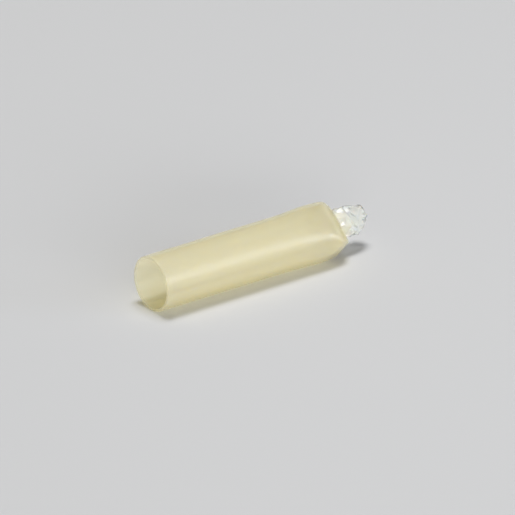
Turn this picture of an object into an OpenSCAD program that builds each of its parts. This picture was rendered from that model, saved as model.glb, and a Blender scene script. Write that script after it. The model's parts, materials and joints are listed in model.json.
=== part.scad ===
// Heat shrink end cap, lying on its side.
// A thin-walled plastic sleeve, open at one end and pinched flat at the other, where hot-melt
// sealant fills the throat and stands out past the seam as a crumpled, hardened tail.
// +X runs along the sleeve's axis from the open mouth to the closed end, +Z is up, and the
// origin is the centre of the mouth.

/* [Sleeve] */
// Inside diameter of the open sleeve as supplied
bore_d = 10.9; // [7:0.1:20]
// Thickness of the sleeve's wall
wall_t = 0.6; // [0.4:0.05:0.8]
// Length of the straight, round part of the sleeve
straight_l = 42.8; // [15:0.1:90]
// Radius of the worn edges at the cut mouth
rim_round = 0.12; // [0.05:0.01:0.18]
// Width of the flat spot where the soft wall has settled under the cap's own weight
rest_flat_w = 1.7; // [1.2:0.1:2.4]

/* [Closed end] */
// Length from the end of the round part to the end of the seam
closing_l = 6.8; // [6:0.1:14]
// Length of the flat crimped strip along the seam
crimp_l = 0.5; // [0.3:0.05:1.5]
// Width of the seam, measured across the flattened sleeve
seam_w = 9.4; // [5:0.1:12]
// Thickness of the sealant layer between the two crimped walls
slot_t = 0.5; // [0.3:0.05:1.2]
// Angle that the seam leans over sideways from upright
seam_turn = 50; // [0:1:90]
// Height of the middle of the seam above the sleeve's axis
seam_rise = 0.34; // [0:0.02:0.8]

/* [Sealant] */
// Depth of the sealant inside the sleeve, measured from the end of the seam
fill_depth = 4.2; // [3:0.1:5]
// How far the sealant's inner face dishes in at its middle
dish_depth = 0.8; // [0.2:0.05:1.2]
// Gap between the sealant and the wall that it is bonded to
bond_gap = 0.02; // [0.01:0.005:0.05]
// Length of the tail outside the seam
tail_l = 7.4; // [4:0.1:12]
// Width of the tail where it spreads out of the slot
tail_w = 7.2; // [4:0.1:9]
// Width of the tail at its tip
tip_w = 3.8; // [2:0.1:5]
// Thickness of the tail at its thickest, across the seam
tail_t = 4; // [1.5:0.1:5]
// How far the tip leans off the middle of the seam, to its upper side
tip_lean = 1.1; // [0:0.05:1.5]
// Depth of the crumpled facets in the tail
crumple = 0.36; // [0:0.02:0.6]

/* [Hidden] */

// Facets round exact surfaces
$fn = 96;
// Points round each ring of the flattened end
ring_points = 72;
// Rings from the round part to the sealant, and from the sealant to the crimped strip
free_rings = 3;
sealed_rings = 10;
// Straight steps in each rounded edge of the mouth
round_steps = 4;
// How fast the sleeve narrows at its sides and closes at its faces, and how square its edges
// get along the crimped strip
side_power = 3.4;
face_power = 0.8;
edge_power = 5;
edge_growth = 3;
// How far the flattened end reaches into the round wall, and starts inside its surfaces
lap_l = 0.5;
lap_step = 0.01;
// Rings that make the dished inner face of the sealant
dish_rings = 5;
// Depth at which the tail is rooted in the slot
root_l = 0.6;
// Corners round the tail, and the seed that its crumpling is drawn from
tail_corners = 9;
tail_seed = 13;
// Places of the tail's rings, as shares of its length: the second spreads over the seam's edges
tail_places = [0, 0.03, 0.26, 0.5, 0.76, 1];

bore_r = bore_d / 2;
outer_r = bore_r + wall_t;
end_x = straight_l + closing_l;
crimp_x = end_x - crimp_l;
fill_x = end_x - fill_depth;
seam_half_t = slot_t / 2 + wall_t;
slot_half_w = seam_w / 2 - wall_t;
rest_z = -sqrt(pow(outer_r, 2) - pow(rest_flat_w / 2, 2));

// Places of the rings along the flattened end: one lies where the sealant starts, and they
// crowd together where the faces turn into the crimped strip
ring_x = concat(
    [for (k = [0 : free_rings - 1]) straight_l + (fill_x - straight_l) * k / free_rings],
    [for (k = [0 : sealed_rings]) fill_x + (crimp_x - fill_x) * sin(90 * k / sealed_rings)],
    [end_x]);
ring_count = len(ring_x);

// How far the sleeve is closed at x: 0 where it is round, 1 along the crimped strip
function closed(x) = max(0, min(1, (x - straight_l) / (crimp_x - straight_l)));

// Turns a place on the seam's own axes, along its width and across it, into Y and Z
function on_seam(x, along, across) =
    [x, along * sin(seam_turn) - across * cos(seam_turn),
     seam_rise * pow(closed(x), 2) + along * cos(seam_turn) + across * sin(seam_turn)];

// Signed power, which squares off the ends of an ellipse
function squared(value, share) = sign(value) * pow(abs(value), share);

// Point of the flattened end at x and at an angle round it, this far inside the outer surface
function end_point(x, angle, inset) =
    let (s = closed(x),
         half_w = outer_r + (seam_w / 2 - outer_r) * pow(s, side_power) - inset,
         half_t = seam_half_t + (outer_r - seam_half_t) * pow(cos(90 * s), face_power) - inset,
         share = 2 / (2 + edge_power * pow(s, edge_growth)))
    on_seam(x, half_w * squared(cos(angle), share), half_t * squared(sin(angle), share));

function end_ring(x, inset) =
    [for (i = [0 : ring_points - 1]) end_point(x, 360 * i / ring_points, inset)];

// A ring of a plain round tube, for the lap inside the round wall
function round_ring(x, radius) =
    [for (i = [0 : ring_points - 1]) on_seam(x, radius * cos(360 * i / ring_points),
                                             radius * sin(360 * i / ring_points))];

// Triangles of the skin over a stack of rings with n points each, from point number first
function skin(first, rings, n) =
    [for (k = [0 : rings - 2], i = [0 : n - 1])
        let (a = first + k * n + i, b = first + k * n + (i + 1) % n)
        each [[a, a + n, b + n], [a, b + n, b]]];

function reversed(faces) = [for (f = faces) [f[2], f[1], f[0]]];

// Triangles that close the gap between an outer ring and an inner one, facing +X
function annulus(outer, inner, n) =
    [for (i = [0 : n - 1])
        let (j = (i + 1) % n)
        each [[outer + j, outer + i, inner + i], [outer + j, inner + i, inner + j]]];

// A closed stack of rings with n points each, between a first and a last point
module ring_stack(first_point, rings, last_point) {
    n = len(rings[0]);
    last = 1 + len(rings) * n;
    polyhedron(
        points = concat([first_point], [for (ring = rings) each ring], [last_point]),
        faces = concat(
            [for (i = [0 : n - 1]) [0, 1 + i, 1 + (i + 1) % n]],
            skin(1, len(rings), n),
            [for (i = [0 : n - 1]) [last, last - n + (i + 1) % n, last - n + i]]),
        convexity = 6);
}

// Half section of the round part, with the two edges of the mouth rounded
module wall_section() {
    polygon(concat(
        [[bore_r, straight_l]],
        [for (k = [0 : round_steps])
            let (a = 90 * k / round_steps)
            [bore_r + rim_round * (1 - cos(a)), rim_round * (1 - sin(a))]],
        [for (k = [0 : round_steps])
            let (a = 90 * k / round_steps)
            [outer_r - rim_round * (1 - sin(a)), rim_round * (1 - cos(a))]],
        [[outer_r, straight_l]]));
}

// The wall of the flattened end: an outer and an inner skin, open at the slot for the sealant
module flattened_end() {
    n = ring_points;
    outer_rings = concat([round_ring(straight_l - lap_l, outer_r - wall_t / 3)],
                         [for (x = ring_x) end_ring(x, lap_step * (1 - closed(x)))]);
    inner_rings = concat([round_ring(straight_l - lap_l, bore_r + wall_t / 3)],
                         [for (x = ring_x) end_ring(x, wall_t - lap_step * (1 - closed(x)))]);
    rings = ring_count + 1;
    inner = rings * n;
    polyhedron(
        points = [for (ring = concat(outer_rings, inner_rings)) each ring],
        faces = concat(
            skin(0, rings, n),
            reversed(skin(inner, rings, n)),
            reversed(annulus(0, inner, n)),
            annulus(inner - n, 2 * inner - n, n)),
        convexity = 6);
}

// What is shaved off the underside to leave the flat spot
module under_flat() {
    translate([-end_x, -outer_r, rest_z - 2 * outer_r]) cube([3 * end_x, 2 * outer_r, 2 * outer_r]);
}

module shrink_sleeve() {
    color("palegoldenrod")
        difference() {
            union() {
                rotate([0, 90, 0]) rotate_extrude() wall_section();
                flattened_end();
            }
            under_flat();
        }
}

// The sealant in the throat: it follows the inside of the wall and dishes in at its open face
module throat_fill() {
    inset = wall_t + bond_gap;
    full_ring = end_ring(fill_x, inset);
    middle = on_seam(fill_x, 0, 0);
    dish = [for (k = [1 : dish_rings - 1])
        let (share = k / dish_rings)
        [for (p = full_ring)
            middle + share * (p - middle) + [dish_depth * (1 - share * share), 0, 0]]];
    ring_stack(
        middle + [dish_depth, 0, 0],
        concat(dish, [for (x = ring_x) if (x >= fill_x) end_ring(x, inset)]),
        on_seam(end_x, 0, 0));
}

// One crumpled ring of the tail: it has the slot's size at the root, spreads over the seam's
// edges, and narrows to the tip, and the drawn lots push its corners in and out
function tail_ring(k, lots) =
    let (share = tail_places[k],
         half_w = lookup(share, [[0, slot_half_w - 2 * bond_gap], [tail_places[1], tail_w / 2],
                                 [0.6, tail_w * 0.96 / 2], [1, tip_w / 2]]),
         half_t = lookup(share, [[0, slot_t / 2 - 2 * bond_gap], [tail_places[1], seam_half_t * 0.9],
                                 [0.26, tail_t * 0.85 / 2], [0.6, tail_t / 2], [1, tail_t * 0.7 / 2]]),
         lean = tip_lean * lookup(share, [[0, 0], [tail_places[1], 0.25], [0.5, 0.25], [1, 1]]),
         rough = crumple * lookup(share, [[0, 0], [tail_places[1], 0], [0.26, 1]]))
    [for (i = [0 : tail_corners - 1])
        let (angle = 360 * (i + (k % 2) / 2) / tail_corners,
             lot = tail_corners * k + i,
             outwards = rough * lots[lot],
             forwards = 0.6 * rough * lots[len(lots) - 1 - lot])
        on_seam(end_x + tail_l * share + forwards,
                lean + (half_w + outwards) * squared(cos(angle), 0.75),
                (half_t + outwards) * squared(sin(angle), 0.75))];

// The tail: rooted in the slot, then a chunky lump of flat facets
module tail() {
    rings = len(tail_places);
    lots = rands(-1, 1, 2 * rings * tail_corners, tail_seed);
    root = [for (p = tail_ring(0, lots)) p - [root_l, 0, 0]];
    ring_stack(
        on_seam(end_x - root_l, 0, 0),
        concat([root], [for (k = [0 : rings - 1]) tail_ring(k, lots)]),
        on_seam(end_x + tail_l, tip_lean, 0));
}

module sealant_plug() {
    color("ivory") {
        throat_fill();
        tail();
    }
}

shrink_sleeve();
sealant_plug();
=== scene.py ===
"""Heat shrink end cap: its sleeve, its sealant and the stage that it lies on."""

import json
import math

import bmesh
import bpy
from mathutils import Matrix, Vector, noise


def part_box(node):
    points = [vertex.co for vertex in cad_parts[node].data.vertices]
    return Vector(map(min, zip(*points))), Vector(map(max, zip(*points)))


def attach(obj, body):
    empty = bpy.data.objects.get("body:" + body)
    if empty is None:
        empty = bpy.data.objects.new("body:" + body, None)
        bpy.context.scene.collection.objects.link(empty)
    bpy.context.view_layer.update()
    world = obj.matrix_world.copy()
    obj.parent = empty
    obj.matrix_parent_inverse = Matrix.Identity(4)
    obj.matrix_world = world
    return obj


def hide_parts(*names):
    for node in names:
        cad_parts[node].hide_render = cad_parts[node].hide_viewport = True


bl_info = {
    "name": "Heat shrink end cap",
    "version": (1, 0, 0),
    "blender": (4, 5, 0),
    "location": "3D View > Sidebar > End cap",
    "description": "Models a pinched heat shrink end cap with its hot-melt sealant",
    "category": "Object",
}

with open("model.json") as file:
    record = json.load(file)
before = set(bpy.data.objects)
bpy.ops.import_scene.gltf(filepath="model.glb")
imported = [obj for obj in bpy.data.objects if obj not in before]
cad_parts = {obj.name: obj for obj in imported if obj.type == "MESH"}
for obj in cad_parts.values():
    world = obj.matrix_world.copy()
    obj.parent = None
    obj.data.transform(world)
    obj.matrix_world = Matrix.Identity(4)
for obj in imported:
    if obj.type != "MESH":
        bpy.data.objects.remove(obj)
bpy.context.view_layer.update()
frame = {"nodes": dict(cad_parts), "record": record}

MM = 0.001
TURN = 2 * math.pi
QUARTER = math.pi / 2
SLEEVE_NODE = "shrink_sleeve"
SEALANT_NODE = "sealant_plug"
SLEEVE_LOW, SLEEVE_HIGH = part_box(SLEEVE_NODE)
BORE = frame["record"]["mounts"][0]["dims"]
# How fast the sleeve narrows at its sides and closes at its faces, and how square its edges get
SIDE_POWER, FACE_POWER, EDGE_POWER, EDGE_GROWTH = 3.4, 0.8, 5, 3
# Length of the wobble's waves along the sleeve, and how closely they follow each other round it
WAVE_LENGTH, WAVE_ROUND = 9 * MM, 0.8
# Vertices round the sleeve, and steps along its straight part, its taper, its crimp and each edge
AROUND, STRAIGHT_STEPS, TAPER_STEPS, CRIMP_STEPS, ROUND_STEPS = 160, 56, 26, 3, 4


def squared(value, share):
    """Signed power, which squares off the ends of an ellipse."""
    return math.copysign(abs(value) ** share, value)


def linear(code):
    """A colour written as sRGB hex, turned to linear red, green, blue and alpha."""
    channels = [int(code[i:i + 2], 16) / 255 for i in (0, 2, 4)]
    return tuple(c / 12.92 if c <= 0.04045 else ((c + 0.055) / 1.055) ** 2.4 for c in channels) + (1.0,)


class SleeveSizes(bpy.types.PropertyGroup):
    """Sizes of the sleeve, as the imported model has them."""

    bore_radius: bpy.props.FloatProperty(
        name="Bore radius", description="Inside radius of the open sleeve",
        default=BORE["r_mm"] * MM, unit="LENGTH", precision=5)
    wall: bpy.props.FloatProperty(
        name="Wall", description="Thickness of the sleeve's wall",
        default=0.6 * MM, unit="LENGTH", precision=5)
    straight: bpy.props.FloatProperty(
        name="Straight length", description="Length of the round part of the sleeve",
        default=BORE["length_mm"] * MM, unit="LENGTH", precision=5)
    length: bpy.props.FloatProperty(
        name="Sleeve length", description="Length from the mouth to the end of the seam",
        default=SLEEVE_HIGH.x, unit="LENGTH", precision=5)
    crimp: bpy.props.FloatProperty(
        name="Crimp length", description="Length of the flat crimped strip along the seam",
        default=0.5 * MM, unit="LENGTH", precision=5)
    seam_width: bpy.props.FloatProperty(
        name="Seam width", description="Width of the seam across the flattened sleeve",
        default=9.4 * MM, unit="LENGTH", precision=5)
    slot: bpy.props.FloatProperty(
        name="Slot", description="Thickness of the sealant between the crimped walls",
        default=0.5 * MM, unit="LENGTH", precision=5)
    seam_turn: bpy.props.FloatProperty(
        name="Seam turn", description="Angle that the seam leans over sideways from upright",
        default=math.radians(50), unit="ROTATION")
    seam_rise: bpy.props.FloatProperty(
        name="Seam rise", description="Height of the seam's middle above the sleeve's axis",
        default=0.34 * MM, unit="LENGTH", precision=5)
    rim_round: bpy.props.FloatProperty(
        name="Rim radius", description="Radius of the worn edges at the cut mouth",
        default=0.12 * MM, unit="LENGTH", precision=5)
    wobble: bpy.props.FloatProperty(
        name="Wobble", description="How far the drawn wall strays from a true cylinder",
        default=0.05 * MM, unit="LENGTH", precision=5)
    squash: bpy.props.FloatProperty(
        name="Squash", description="How far the sleeve is squashed where its straight part ends",
        default=0.4 * MM, unit="LENGTH", precision=5)
    squash_length: bpy.props.FloatProperty(
        name="Squash length", description="Length of the straight part that is squashed a little",
        default=9 * MM, unit="LENGTH", precision=5)
    colour: bpy.props.StringProperty(
        name="Colour", description="Colour of the translucent sleeve, as sRGB hex",
        default="E6E3DA")
    cloudy_colour: bpy.props.StringProperty(
        name="Cloudy colour", description="Colour of the sleeve's cloudier patches, as sRGB hex",
        default="EAE8E2")
    milky_colour: bpy.props.StringProperty(
        name="Milky colour", description="Tint of the light that scatters through, as sRGB hex",
        default="EFECDC")
    clear_colour: bpy.props.StringProperty(
        name="Clear colour", description="Tint of the light that passes straight through, as sRGB hex",
        default="FDFAE8")


class SealantSizes(bpy.types.PropertyGroup):
    """Sizes and colours of the hot-melt sealant."""

    crease: bpy.props.FloatProperty(
        name="Crease", description="Width of the soft edge between two facets of the tail",
        default=0.03 * MM, unit="LENGTH", precision=5)
    crinkle: bpy.props.FloatProperty(
        name="Crinkle", description="Depth of the small crinkles inside the facets",
        default=0.45 * MM, unit="LENGTH", precision=5)
    crinkle_width: bpy.props.FloatProperty(
        name="Crinkle width", description="How far apart the small crinkles are",
        default=0.9 * MM, unit="LENGTH", precision=5)
    seed: bpy.props.IntProperty(
        name="Seed", description="Number that the crinkles are drawn from", default=3, min=1)
    colour: bpy.props.StringProperty(
        name="Colour", description="Tint of the clear tail, as sRGB hex", default="E5E7E2")
    warm_colour: bpy.props.StringProperty(
        name="Warm colour", description="Tint of the sealant inside the sleeve, as sRGB hex",
        default="F8F2DE")


class StageSizes(bpy.types.PropertyGroup):
    """The floor, the camera and the lamps."""

    floor_colour: bpy.props.StringProperty(
        name="Floor colour", description="Colour of the pale floor, as sRGB hex", default="CECECE")
    camera_turn: bpy.props.FloatProperty(
        name="Camera turn", description="Angle between the sleeve's axis and the picture plane",
        default=math.radians(37.3), unit="ROTATION")
    camera_rise: bpy.props.FloatProperty(
        name="Camera rise", description="Angle that the camera looks down by",
        default=math.radians(24), unit="ROTATION")
    view_width: bpy.props.FloatProperty(
        name="View width", description="Width of what the camera sees at the cap",
        default=108.2 * MM, unit="LENGTH", precision=5)
    mouth_right: bpy.props.FloatProperty(
        name="Middle, to the right", description="How far the picture's middle is right of the mouth",
        default=22.36 * MM, unit="LENGTH", precision=5)
    mouth_up: bpy.props.FloatProperty(
        name="Middle, up", description="How far the picture's middle is above the mouth",
        default=5.59 * MM, unit="LENGTH", precision=5)
    lens: bpy.props.FloatProperty(
        name="Lens", description="Focal length in millimetres: a long one, for a flat view",
        default=600.0)
    floor_gap: bpy.props.FloatProperty(
        name="Floor gap", description="How far the floor lies below the sleeve's flat spot",
        default=0.02 * MM, unit="LENGTH", precision=5)
    lamp_distance: bpy.props.FloatProperty(
        name="Lamp distance", description="Distance of every lamp from the middle of the sleeve",
        default=1.2, unit="LENGTH")
    streak_height: bpy.props.FloatProperty(
        name="Streak height", description="Angle up the sleeve's side that the streak's lamp is seen at",
        default=math.radians(25), unit="ROTATION")


def closing(sizes, x):
    """How far the sleeve is closed at x: 0 where it is round, 1 along the crimped strip."""
    crimp_start = sizes.length - sizes.crimp
    return max(0.0, min(1.0, (x - sizes.straight) / (crimp_start - sizes.straight)))


def on_seam(sizes, x, along, across):
    """The point at x that lies so far along the seam's width and so far across it."""
    sine, cosine = math.sin(sizes.seam_turn), math.cos(sizes.seam_turn)
    rise = sizes.seam_rise * closing(sizes, x) ** 2
    return Vector((x, along * sine - across * cosine, rise + along * cosine + across * sine))


def wall_point(sizes, x, angle, inset):
    """The sleeve's surface at x and at an angle round it, inset from the outer skin.

    The sleeve is round, then squashed a little, then closes to the seam. A slight wobble keeps
    the round part from looking turned."""
    s = closing(sizes, x)
    outer = sizes.bore_radius + sizes.wall
    half_seam = sizes.slot / 2 + sizes.wall
    ease = max(0.0, min(1.0, 1 + (x - sizes.straight) / sizes.squash_length))
    squash = sizes.squash * ease * ease * (3 - 2 * ease) * (1 - s)
    half_width = outer + (sizes.seam_width / 2 - outer) * s ** SIDE_POWER - inset + squash
    half_depth = half_seam + (outer - half_seam) * math.cos(QUARTER * s) ** FACE_POWER - inset - squash
    share = 2 / (2 + EDGE_POWER * s ** EDGE_GROWTH)
    point = on_seam(sizes, x, half_width * squared(math.cos(angle), share),
                    half_depth * squared(math.sin(angle), share))
    fade = 1 - s
    if fade > 0:
        spot = Vector((x / WAVE_LENGTH, math.cos(angle) * WAVE_ROUND, math.sin(angle) * WAVE_ROUND))
        push = sizes.wobble * fade * noise.noise(spot)
        point += Vector((0, point.y, point.z)).normalized() * push
    return point


def sleeve_stations(sizes):
    """The section line of the wall, as (x, inset) from the mouth to the seam and back inside."""
    r = sizes.rim_round
    wall, end = sizes.wall, sizes.length
    crimp_start = end - sizes.crimp
    taper = crimp_start - sizes.straight
    rounding = [QUARTER * k / ROUND_STEPS for k in range(ROUND_STEPS + 1)]
    run = [r + (sizes.straight - r) * k / STRAIGHT_STEPS for k in range(1, STRAIGHT_STEPS)]
    run += [sizes.straight + taper * math.sin(QUARTER * k / TAPER_STEPS) for k in range(TAPER_STEPS + 1)]
    run += [crimp_start + (sizes.crimp - r) * k / CRIMP_STEPS for k in range(1, CRIMP_STEPS)]
    out = [(r * (1 - math.sin(a)), r * (1 - math.cos(a))) for a in reversed(rounding)]
    lip = [(end - r * (1 - math.sin(a)), r * (1 - math.cos(a))) for a in rounding]
    inner_lip = [(x, wall - inset) for x, inset in reversed(lip)]
    back = [(x, wall) for x in reversed(run)]
    inner_rim = [(x, wall - inset) for x, inset in reversed(out)]
    return out + [(x, 0.0) for x in run] + lip + inner_lip + back + inner_rim


def corner_rank(part, vert_count):
    """A number of its own for an edge or a face, from its last and its first vertex."""
    corners = [vert.index for vert in part.verts]
    return max(corners) * vert_count + min(corners)


def sleeve_mesh(sizes):
    """A ring drawn out of itself along the wall's section line, then joined end to end.

    Nothing reaches below the flat spot that the sleeve rests on."""
    bm = bmesh.new()
    place = bm.verts.layers.int.new("place")
    bmesh.ops.create_circle(bm, segments=AROUND, radius=1)
    ring = sorted(bm.verts, key=lambda v: math.atan2(v.co.y, v.co.x) % TURN)
    for i, vert in enumerate(ring):
        vert[place] = i
    first = edges = bm.edges[:]
    for k, (x, inset) in enumerate(sleeve_stations(sizes)):
        if k:
            drawn = bmesh.ops.extrude_edge_only(bm, edges=edges)["geom"]
            edges = [g for g in drawn if isinstance(g, bmesh.types.BMEdge)]
        for vert in {v for e in edges for v in e.verts}:
            vert.co = wall_point(sizes, x, TURN * vert[place] / AROUND, inset)
            vert.co.z = max(vert.co.z, SLEEVE_LOW.z)
    bmesh.ops.bridge_loops(bm, edges=first + edges)
    bmesh.ops.recalc_face_normals(bm, faces=bm.faces[:])
    # Drawing out makes its edges and faces in another order each time, so they are put in order
    bm.verts.index_update()
    for parts in (bm.edges, bm.faces):
        parts.sort(key=lambda part: corner_rank(part, len(bm.verts)))
    for face in bm.faces:
        face.smooth = True
    return bm


def finished(name, bm, material):
    """Turns a bmesh into an object at the origin with one material."""
    mesh = bpy.data.meshes.new(name)
    bm.to_mesh(mesh)
    bm.free()
    mesh.materials.append(material)
    piece = bpy.data.objects.new(name, mesh)
    bpy.context.scene.collection.objects.link(piece)
    return piece


def add_node(tree, kind, inputs=None, **settings):
    """Adds a shader node with its settings, its values and the links into it."""
    node = tree.nodes.new(kind)
    for name, value in settings.items():
        setattr(node, name, value)
    for socket, value in (inputs or {}).items():
        if isinstance(value, bpy.types.NodeSocket):
            tree.links.new(value, node.inputs[socket])
        else:
            node.inputs[socket].default_value = value
    return node


def new_material(name):
    """An empty node material and its output node."""
    material = bpy.data.materials.new(name)
    material.use_nodes = True
    tree = material.node_tree
    tree.nodes.clear()
    return material, tree, tree.nodes.new("ShaderNodeOutputMaterial")


def polyolefin(sizes):
    """Cross-linked polyolefin, drawn as a thin tube: waxy and translucent, with a soft gloss.

    Part of the light passes straight through each skin of the wall and part scatters through
    it, so the inside glows and shadows in and under it are warm and pale. Faint die lines run
    along it, and it is a little cloudier in places."""
    material, tree, output = new_material("cross_linked_polyolefin")
    where = add_node(tree, "ShaderNodeTexCoord").outputs["Object"]
    # Clouds about 7 mm across
    clouds = add_node(tree, "ShaderNodeTexNoise", {"Vector": where, "Scale": 1 / (7 * MM), "Detail": 2.0})
    tint = add_node(tree, "ShaderNodeMix", {"Factor": clouds.outputs["Fac"], "A": linear(sizes.colour),
                                            "B": linear(sizes.cloudy_colour)}, data_type="RGBA")
    # Die lines about 0.4 mm apart, drawn out along the tube
    along = add_node(tree, "ShaderNodeMapping", {"Vector": where, "Scale": (0.02, 1.0, 1.0)})
    lines = add_node(tree, "ShaderNodeTexNoise", {"Vector": along.outputs["Vector"],
                                                  "Scale": 1 / (0.4 * MM), "Detail": 1.0})
    bump = add_node(tree, "ShaderNodeBump", {"Height": lines.outputs["Fac"], "Strength": 0.12,
                                             "Distance": 0.02 * MM})
    # The glossy part is only about a fifth of each skin, so it has a high IOR to give the whole its gloss
    glossy = add_node(tree, "ShaderNodeBsdfPrincipled", {
        "Base Color": tint.outputs[2], "Roughness": 0.3, "IOR": 1.9,
        "Coat Weight": 1.0, "Coat Roughness": 0.25, "Coat IOR": 1.9, "Subsurface Weight": 1.0,
        "Subsurface Radius": (1.0, 0.9, 0.7), "Subsurface Scale": 1.5 * MM,
        "Normal": bump.outputs["Normal"]})
    clear = add_node(tree, "ShaderNodeBsdfTransparent", {"Color": linear(sizes.clear_colour)})
    milky = add_node(tree, "ShaderNodeBsdfTranslucent", {"Color": linear(sizes.milky_colour)})
    body_share, glossy_share = 0.35, 0.55
    body = add_node(tree, "ShaderNodeMixShader", {0: glossy_share, 1: milky.outputs["BSDF"],
                                                  2: glossy.outputs["BSDF"]})
    wall = add_node(tree, "ShaderNodeMixShader", {0: body_share, 1: clear.outputs["BSDF"],
                                                  2: body.outputs[0]})
    tree.links.new(wall.outputs[0], output.inputs["Surface"])
    return material


def hot_melt(sizes):
    """Hot-melt adhesive, squeezed out and hardened: clear and glossy with a few bright glints, and
    a little cloudy inside."""
    material, tree, output = new_material("hot_melt_adhesive")
    where = add_node(tree, "ShaderNodeTexCoord").outputs["Object"]
    # Warmer and cloudier inside the sleeve, where it was heated with it, and clearer in the tail
    along = add_node(tree, "ShaderNodeSeparateXYZ", {"Vector": where}).outputs["X"]
    share = add_node(tree, "ShaderNodeMapRange", {"Value": along, "From Min": SLEEVE_HIGH.x - MM,
                                                  "From Max": SLEEVE_HIGH.x + 3 * MM})
    tint = add_node(tree, "ShaderNodeMix", {"Factor": share.outputs[0], "A": linear(sizes.warm_colour),
                                            "B": linear(sizes.colour)}, data_type="RGBA")
    cloudiest, clearest = 0.53, 0.7
    clear = add_node(tree, "ShaderNodeMath", {0: share.outputs[0], 1: clearest - cloudiest,
                                              2: cloudiest}, operation="MULTIPLY_ADD")
    # Dents about 1.6 mm across, on top of the modelled facets, bent so that they don't lie in rows
    bend = add_node(tree, "ShaderNodeTexNoise", {"Vector": where, "Scale": 1 / (2 * MM)})
    bent = add_node(tree, "ShaderNodeVectorMath", {0: bend.outputs["Color"], 1: (MM, MM, MM)},
                    operation="MULTIPLY")
    crumpled = add_node(tree, "ShaderNodeVectorMath", {0: where, 1: bent.outputs[0]}, operation="ADD")
    cells = add_node(tree, "ShaderNodeTexVoronoi", {"Vector": crumpled.outputs[0], "Scale": 1 / (1.6 * MM)})
    bump = add_node(tree, "ShaderNodeBump", {"Height": cells.outputs["Distance"], "Strength": 0.2,
                                             "Distance": 0.3 * MM})
    shader = add_node(tree, "ShaderNodeBsdfPrincipled", {
        "Base Color": tint.outputs[2], "Roughness": 0.22, "IOR": 1.45,
        "Transmission Weight": clear.outputs[0], "Subsurface Weight": 1.0,
        "Subsurface Radius": (1.0, 0.9, 0.7), "Subsurface Scale": 1.5 * MM,
        "Normal": bump.outputs["Normal"]})
    tree.links.new(shader.outputs["BSDF"], output.inputs["Surface"])
    return material


def pale_card(stage):
    """Matt pale card for the floor: an even grey without a sheen, which keeps the cap's shadow."""
    material, tree, output = new_material("pale_card")
    shader = add_node(tree, "ShaderNodeBsdfPrincipled", {
        "Base Color": linear(stage.floor_colour), "Roughness": 0.9, "Specular IOR Level": 0.0})
    tree.links.new(shader.outputs["BSDF"], output.inputs["Surface"])
    return material


class ENDCAP_OT_sleeve(bpy.types.Operator):
    """Model the translucent sleeve, round at the mouth and pinched flat at its end"""

    bl_idname = "endcap.sleeve"
    bl_label = "Sleeve"

    def execute(self, context):
        sizes = context.scene.endcap_sleeve
        piece = finished("pinched_sleeve", sleeve_mesh(sizes), polyolefin(sizes))
        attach(piece, "root")
        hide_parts(SLEEVE_NODE)
        return {"FINISHED"}


def tail_edges(bm):
    """The edges of the tail's facets that lie just clear of the seam."""
    clear_x = SLEEVE_HIGH.x + 0.1 * MM
    return [e for e in bm.edges if min(v.co.x for v in e.verts) > clear_x]


class ENDCAP_OT_sealant(bpy.types.Operator):
    """Model the hot-melt sealant, from the throat to its crumpled tail"""

    bl_idname = "endcap.sealant"
    bl_label = "Sealant"

    def execute(self, context):
        sizes = context.scene.endcap_sealant
        bm = bmesh.new()
        bm.from_mesh(frame["nodes"][SEALANT_NODE].data)
        bmesh.ops.remove_doubles(bm, verts=bm.verts[:], dist=0.001 * MM)
        bmesh.ops.subdivide_edges(bm, edges=tail_edges(bm), cuts=2, use_grid_fill=True)
        noise.seed_set(sizes.seed)
        for vert in {v for e in tail_edges(bm) for v in e.verts}:
            vert.co += sizes.crinkle * noise.noise_vector(vert.co / sizes.crinkle_width)
        bmesh.ops.bevel(bm, geom=tail_edges(bm), offset=sizes.crease, affect="EDGES", segments=2,
                        profile=0.5, material=-1)
        piece = finished("sealant_tail", bm, hot_melt(sizes))
        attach(piece, "root")
        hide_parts(SEALANT_NODE)
        return {"FINISHED"}


def mirrored(look, height):
    """The direction that the camera sees reflected in the sleeve's side, at a height round its axis."""
    across = math.hypot(look.y, look.z)
    return Vector((look.x, -across * math.cos(height), across * math.sin(height)))


def add_lamp(name, facing, middle, right, width, height, glow, colour):
    """A soft rectangular lamp that faces a point, its width level. A glow of 1 is white."""
    back = (middle - facing).normalized()
    side = (right - right.project(back)).normalized()
    data = bpy.data.lights.new(name, "AREA")
    data.shape = "RECTANGLE"
    data.size, data.size_y = width, height
    data.energy = glow * math.pi * width * height
    data.color = colour
    lamp = bpy.data.objects.new(name, data)
    axes = (side, back.cross(side), back)
    lamp.matrix_world = Matrix.Translation(middle) @ Matrix(axes).transposed().to_4x4()
    bpy.context.scene.collection.objects.link(lamp)


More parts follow.
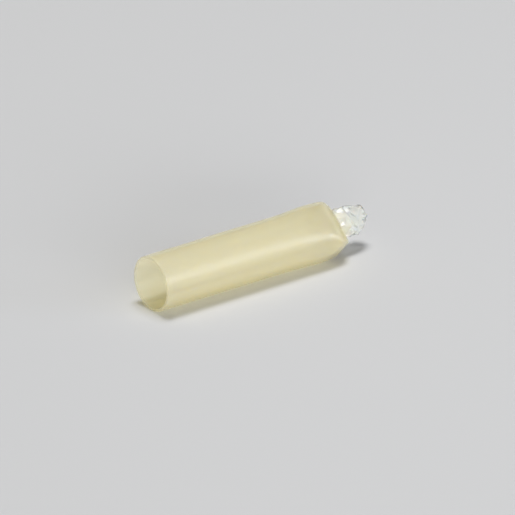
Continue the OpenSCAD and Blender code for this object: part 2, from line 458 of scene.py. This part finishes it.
class ENDCAP_OT_stage(bpy.types.Operator):
    """Set the floor, the camera and the lamps"""

    bl_idname = "endcap.stage"
    bl_label = "Stage"

    def execute(self, context):
        stage = context.scene.endcap_stage
        turn, rise = stage.camera_turn, stage.camera_rise
        right = Vector((math.cos(turn), -math.sin(turn), 0))
        away = Vector((math.sin(turn), math.cos(turn), 0))
        up = Vector((0, 0, 1))
        look = away * math.cos(rise) - up * math.sin(rise)
        lift = away * math.sin(rise) + up * math.cos(rise)

        bm = bmesh.new()
        bmesh.ops.create_grid(bm, x_segments=1, y_segments=1, size=3,
                              matrix=Matrix.Translation((0, 0, SLEEVE_LOW.z - stage.floor_gap)))
        finished("floor", bm, pale_card(stage))

        data = bpy.data.cameras.new("camera")
        data.lens = stage.lens
        distance = stage.view_width * data.lens / data.sensor_width
        data.clip_end = distance * 10
        camera = bpy.data.objects.new("camera", data)
        middle = right * stage.mouth_right + lift * stage.mouth_up
        frame_of_view = Matrix((right, lift, -look)).transposed().to_4x4()
        camera.matrix_world = Matrix.Translation(middle - look * distance) @ frame_of_view
        context.scene.collection.objects.link(camera)
        context.scene.camera = camera

        # The overhead lamp throws the compact shadow. A long one near the floor lights the side that
        # the camera sees, a dim one draws the broad streak along the sleeve, and the last one takes
        # the streak on to the closed end
        centre = Vector((SLEEVE_HIGH.x / 2, 0, 0))
        streak = mirrored(look, stage.streak_height)
        for name, way, width, height, glow, colour in (
                ("overhead_softbox", Vector((0.08, 0.1, 0.98)), 0.45, 0.45, 17.7, (1, 1, 1)),
                ("low_softbox", Vector((-0.25, -0.96, 0.14)), 1.2, 0.3, 13.2, (0.99, 0.99, 0.97)),
                ("streak_softbox", streak, 0.9, 0.45, 1.6, (0.92, 1, 1.22)),
                ("end_softbox", Vector((0.74, -0.67, 0.1)), 0.48, 0.24, 7.5, (0.96, 1, 1.06))):
            middle = centre + stage.lamp_distance * way
            add_lamp(name, centre, middle, right, width, height, glow, colour)

        world = bpy.data.worlds.new("studio")
        world.use_nodes = True
        tree = world.node_tree
        tree.nodes.clear()
        path = add_node(tree, "ShaderNodeLightPath")
        # The fill is bright near the horizon and dim above, as in a light tent
        way = add_node(tree, "ShaderNodeSeparateXYZ", {
            "Vector": add_node(tree, "ShaderNodeTexCoord").outputs["Generated"]})
        sky = add_node(tree, "ShaderNodeMapRange", {
            "Value": way.outputs["Z"], "From Min": 0.3, "From Max": 0.4, "To Min": 0.25, "To Max": 0.05})
        fill = add_node(tree, "ShaderNodeBackground", {"Color": (1, 1, 1, 1), "Strength": sky.outputs[0]})
        # The camera, reflections and what is seen through the cap get the floor's colour
        seen = add_node(tree, "ShaderNodeBackground", {"Color": linear(stage.floor_colour)})
        glossy = add_node(tree, "ShaderNodeMath", {0: path.outputs["Is Camera Ray"],
                                                   1: path.outputs["Is Glossy Ray"]}, operation="MAXIMUM")
        shown = add_node(tree, "ShaderNodeMath", {0: glossy.outputs[0],
                                                  1: path.outputs["Is Transmission Ray"]},
                         operation="MAXIMUM")
        mix = add_node(tree, "ShaderNodeMixShader", {0: shown.outputs[0], 1: fill.outputs[0],
                                                     2: seen.outputs[0]})
        add_node(tree, "ShaderNodeOutputWorld", {"Surface": mix.outputs[0]})
        context.scene.world = world
        context.scene.view_settings.view_transform = "Standard"
        return {"FINISHED"}


class ENDCAP_PT_pieces(bpy.types.Panel):
    """Lists the cap's pieces and its stage"""

    bl_label = "End cap"
    bl_idname = "ENDCAP_PT_pieces"
    bl_space_type = "VIEW_3D"
    bl_region_type = "UI"
    bl_category = "End cap"

    def draw(self, context):
        scene = context.scene
        for group, operator in ((scene.endcap_sleeve, ENDCAP_OT_sleeve),
                                (scene.endcap_sealant, ENDCAP_OT_sealant),
                                (scene.endcap_stage, ENDCAP_OT_stage)):
            box = self.layout.box()
            for name in group.__annotations__:
                box.prop(group, name)
            box.operator(operator.bl_idname)


CLASSES = (SleeveSizes, SealantSizes, StageSizes, ENDCAP_OT_sleeve, ENDCAP_OT_sealant,
           ENDCAP_OT_stage, ENDCAP_PT_pieces)


def register():
    for each in CLASSES:
        bpy.utils.register_class(each)
    bpy.types.Scene.endcap_sleeve = bpy.props.PointerProperty(type=SleeveSizes)
    bpy.types.Scene.endcap_sealant = bpy.props.PointerProperty(type=SealantSizes)
    bpy.types.Scene.endcap_stage = bpy.props.PointerProperty(type=StageSizes)


def unregister():
    del bpy.types.Scene.endcap_stage, bpy.types.Scene.endcap_sealant, bpy.types.Scene.endcap_sleeve
    for each in reversed(CLASSES):
        bpy.utils.unregister_class(each)


def main():
    register()
    bpy.ops.endcap.sleeve()
    bpy.ops.endcap.sealant()
    bpy.ops.endcap.stage()


if __name__ == "__main__":
    main()
